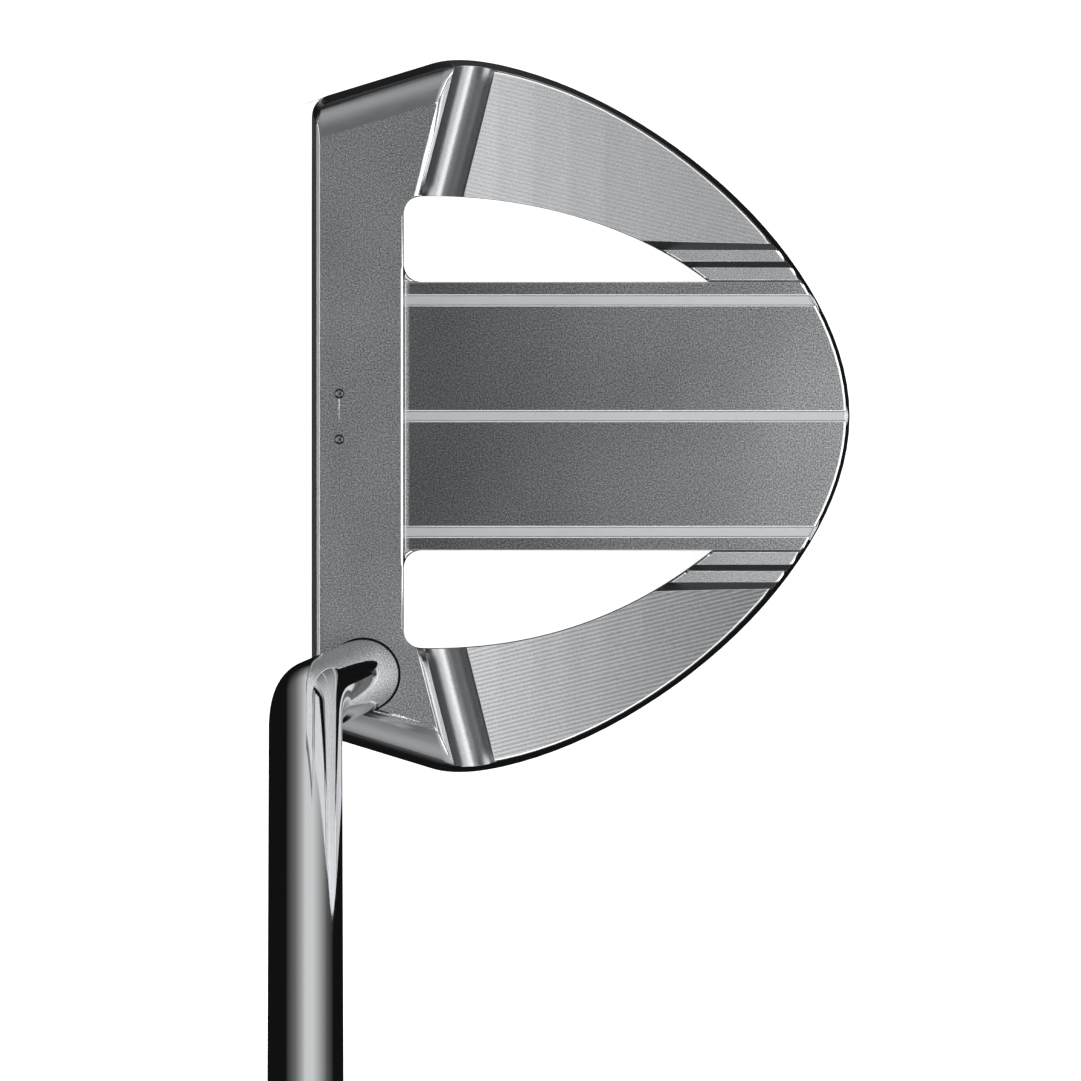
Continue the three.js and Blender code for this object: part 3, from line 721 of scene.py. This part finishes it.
epoxy, tree, output = new_material("black_epoxy")
place = add_object_place(tree)
bubbles = add_node(tree, "ShaderNodeTexNoise", {"Vector": place, "Scale": 2500.0, "Detail": 2.0})
tint = add_scaled(tree, bubbles.outputs[0], 0.6, 0.7)
finish_with(tree, output, {"Base Color": tinted(tree, (0.012, 0.012, 0.013), tint), "Roughness": 0.35})
nodes["shaft_epoxy"].material_slots[0].material = epoxy

cork, tree, output = new_material("cork")
place = add_object_place(tree)
grains = add_node(tree, "ShaderNodeTexVoronoi", {"Vector": place, "Scale": 900.0})
flecks = add_ramp(
    tree, grains.outputs["Distance"],
    [(0.0, (0.20, 0.10, 0.05, 1)), (0.35, (0.42, 0.26, 0.14, 1)), (1.0, (0.55, 0.37, 0.21, 1))],
)
pits = add_node(
    tree, "ShaderNodeBump", {"Height": grains.outputs["Distance"], "Strength": 0.5, "Distance": 0.2 * MM},
)
finish_with(tree, output, {"Base Color": flecks, "Roughness": 0.9, "Normal": pits.outputs[0]})
nodes["shaft_tip_plug"].material_slots[0].material = cork

tape, tree, output = new_material("paper_tape")
place = add_object_place(tree)
stretched = add_node(tree, "ShaderNodeMapping", {"Vector": place, "Scale": (900, 150, 900)})
fibres = add_node(
    tree, "ShaderNodeTexNoise", {"Vector": stretched.outputs[0], "Scale": 1.0, "Detail": 4.0},
)
tint = add_scaled(tree, fibres.outputs[0], 0.3, 0.85)
finish_with(tree, output, {"Base Color": tinted(tree, (0.55, 0.46, 0.28), tint), "Roughness": 0.8})
nodes["grip_tape"].material_slots[0].material = tape


# ---- Grip ----
# A moulded rubber pistol grip: flat in front for the thumbs, full at the back under the butt, with rows of
# shallow grooves. It slides onto the tape and ends in a separate cap with a vent hole.

GRIP_LENGTH = 267 * MM
GRIP_BORE_RADIUS = 8.15 * MM
GRIP_MOUTH_RADIUS = 9.6 * MM
OUTSIDE_RADIUS = GRIP_BORE_RADIUS + 0.5 * MM  # what is further out belongs to the outside
HAND_SWELL = 3.4 * MM  # what the radius gains on the way to the hands
BUTT_SWELL = 0.9 * MM  # and what it gains again near the butt
GRIP_SIDES = 96
GRIP_RINGS = 428  # about four to each groove
GROOVE_PITCH = 2.5 * MM
GROOVE_DEPTH = 0.35 * MM
SEAM_ANGLE = radians(52)  # plain seam between the rows of the front and of each side
BACK_ANGLES = (radians(128), radians(140))  # where the rows fade out towards the back
MOUTH_ROUNDING = 0.5 * MM
VENT_RADIUS = 1.3 * MM
CAP_GAP = 0.06 * MM

grip_end = club_end - CAP_THICKNESS
grip_start = grip_end - GRIP_LENGTH
upper_start = BEND_POINT + upper_axis * bend_tangent


def smooth_step(value, low, high):
    """Rises softly from 0 at low to 1 at high."""
    share = min(max((value - low) / (high - low), 0), 1)
    return share * share * (3 - 2 * share)


def grip_radius(t):
    """Outer radius of the round form that the grip is shaped from, t along it from mouth to butt."""
    return GRIP_MOUTH_RADIUS + HAND_SWELL * smooth_step(t, 0, 0.45) + BUTT_SWELL * smooth_step(t, 0.75, 1)


def shape_pistol(vert):
    """Flattens the front for the thumbs and swells the back below the butt."""
    x, s, z = vert.co
    if hypot(x, z) < OUTSIDE_RADIUS:
        return
    t = min(max((s - grip_start) / GRIP_LENGTH, 0), 1)
    flat = grip_radius(t) * (1 - 0.2 * smooth_step(t, 0, 0.12))
    if z > flat:
        vert.co.z = flat + (z - flat) * 0.12
    swell = smooth_step(t, 0.45, 0.85) - 0.35 * smooth_step(t, 0.9, 1)
    if z < 0:
        vert.co.z = z * (1 + 0.34 * swell)


def groove_depth_at(s, angle):
    """Depth of the grooves: rows on the two sides and the front, with a plain band at each end."""
    t = (s - grip_start) / GRIP_LENGTH
    along = smooth_step(t, 0.06, 0.08) * (1 - smooth_step(t, 0.92, 0.94))
    plain_seam = smooth_step(abs(abs(angle) - SEAM_ANGLE), radians(4), radians(9))
    back = 1 - smooth_step(abs(angle), *BACK_ANGLES)
    row = max(0.0, sin(2 * pi * (s - grip_start) / GROOVE_PITCH)) ** 2
    return GROOVE_DEPTH * along * plain_seam * back * row


def place_on_upper_shaft(shape):
    """Sets a shape turned about Y on the long straight, its x towards the face, its z to the front."""
    across = Vector((-1, 0, 0))
    front = across.cross(upper_axis)
    for vert in shape.verts:
        x, s, z = vert.co
        vert.co = upper_start + upper_axis * (s - bend_end) + across * x + front * z
    bmesh.ops.recalc_face_normals(shape, faces=shape.faces)


profile = [(GRIP_BORE_RADIUS, grip_start), (GRIP_MOUTH_RADIUS - MOUTH_ROUNDING, grip_start)]
for ring in range(GRIP_RINGS + 1):
    t = ring / GRIP_RINGS
    rounding = MOUTH_ROUNDING * (1 - smooth_step(t, 0, 0.004))
    profile.append((grip_radius(t) - rounding, grip_start + GRIP_LENGTH * t))
profile.append((GRIP_BORE_RADIUS, grip_end))
rubber_sleeve = turned(profile, GRIP_SIDES)
for vert in rubber_sleeve.verts:
    radius = hypot(vert.co.x, vert.co.z)
    shape_pistol(vert)
    if radius > OUTSIDE_RADIUS:
        sunk = groove_depth_at(vert.co.y, atan2(vert.co.x, vert.co.z))
        vert.co.x *= 1 - sunk / radius
        vert.co.z *= 1 - sunk / radius
place_on_upper_shaft(rubber_sleeve)
for face in rubber_sleeve.faces:
    face.smooth = True


def rubber_material(name, colour, roughness, pores):
    """Black rubber with fine pores, duller and brighter in patches where it is held."""
    material, tree, output = new_material(name)
    place = add_object_place(tree)
    fine = add_node(tree, "ShaderNodeTexNoise", {"Vector": place, "Scale": pores, "Detail": 4.0})
    handled = add_node(tree, "ShaderNodeTexNoise", {"Vector": place, "Scale": 25.0, "Detail": 3.0})
    rise = add_node(
        tree, "ShaderNodeBump", {"Height": fine.outputs[0], "Strength": 0.5, "Distance": 0.1 * MM},
    )
    finish_with(tree, output, {
        "Base Color": tinted(tree, colour, add_scaled(tree, handled.outputs[0], 0.7, 0.65)),
        "Roughness": add_scaled(tree, handled.outputs[0], 0.2, roughness - 0.1),
        "Normal": rise.outputs[0],
    })
    return material


grip_rubber = rubber_material("grip_rubber", (0.022, 0.022, 0.024), 0.7, 1800.0)
finished_piece("rubber_grip", rubber_sleeve, [grip_rubber], "grip")

cap_low = grip_end + CAP_GAP
cap_radius = grip_radius(1)
cap_profile = [
    (VENT_RADIUS, cap_low),
    (cap_radius, cap_low),
    (cap_radius, club_end - 1.2 * MM),
    (cap_radius - 0.15 * MM, club_end - 0.6 * MM),
    (cap_radius - 0.6 * MM, club_end - 0.15 * MM),
    (cap_radius - 1.2 * MM, club_end),
    (cap_radius * 0.62, club_end),
    (cap_radius * 0.58, club_end - 0.5 * MM),
    (VENT_RADIUS + 1.6 * MM, club_end - 0.5 * MM),
    (VENT_RADIUS + 1.2 * MM, club_end - 0.1 * MM),
    (VENT_RADIUS + 0.2 * MM, club_end - 0.1 * MM),
    (VENT_RADIUS, club_end - 0.3 * MM),
]
rubber_cap = turned(cap_profile, GRIP_SIDES)
for vert in rubber_cap.verts:
    shape_pistol(vert)
place_on_upper_shaft(rubber_cap)
for face in rubber_cap.faces:
    face.smooth = True
cap_rubber = rubber_material("cap_rubber", (0.016, 0.016, 0.017), 0.5, 1200.0)
cap = finished_piece("butt_cap", rubber_cap, [cap_rubber], "grip_cap")
crisp_cap = cap.modifiers.new("even_shading", "WEIGHTED_NORMAL")
crisp_cap.weight = 100
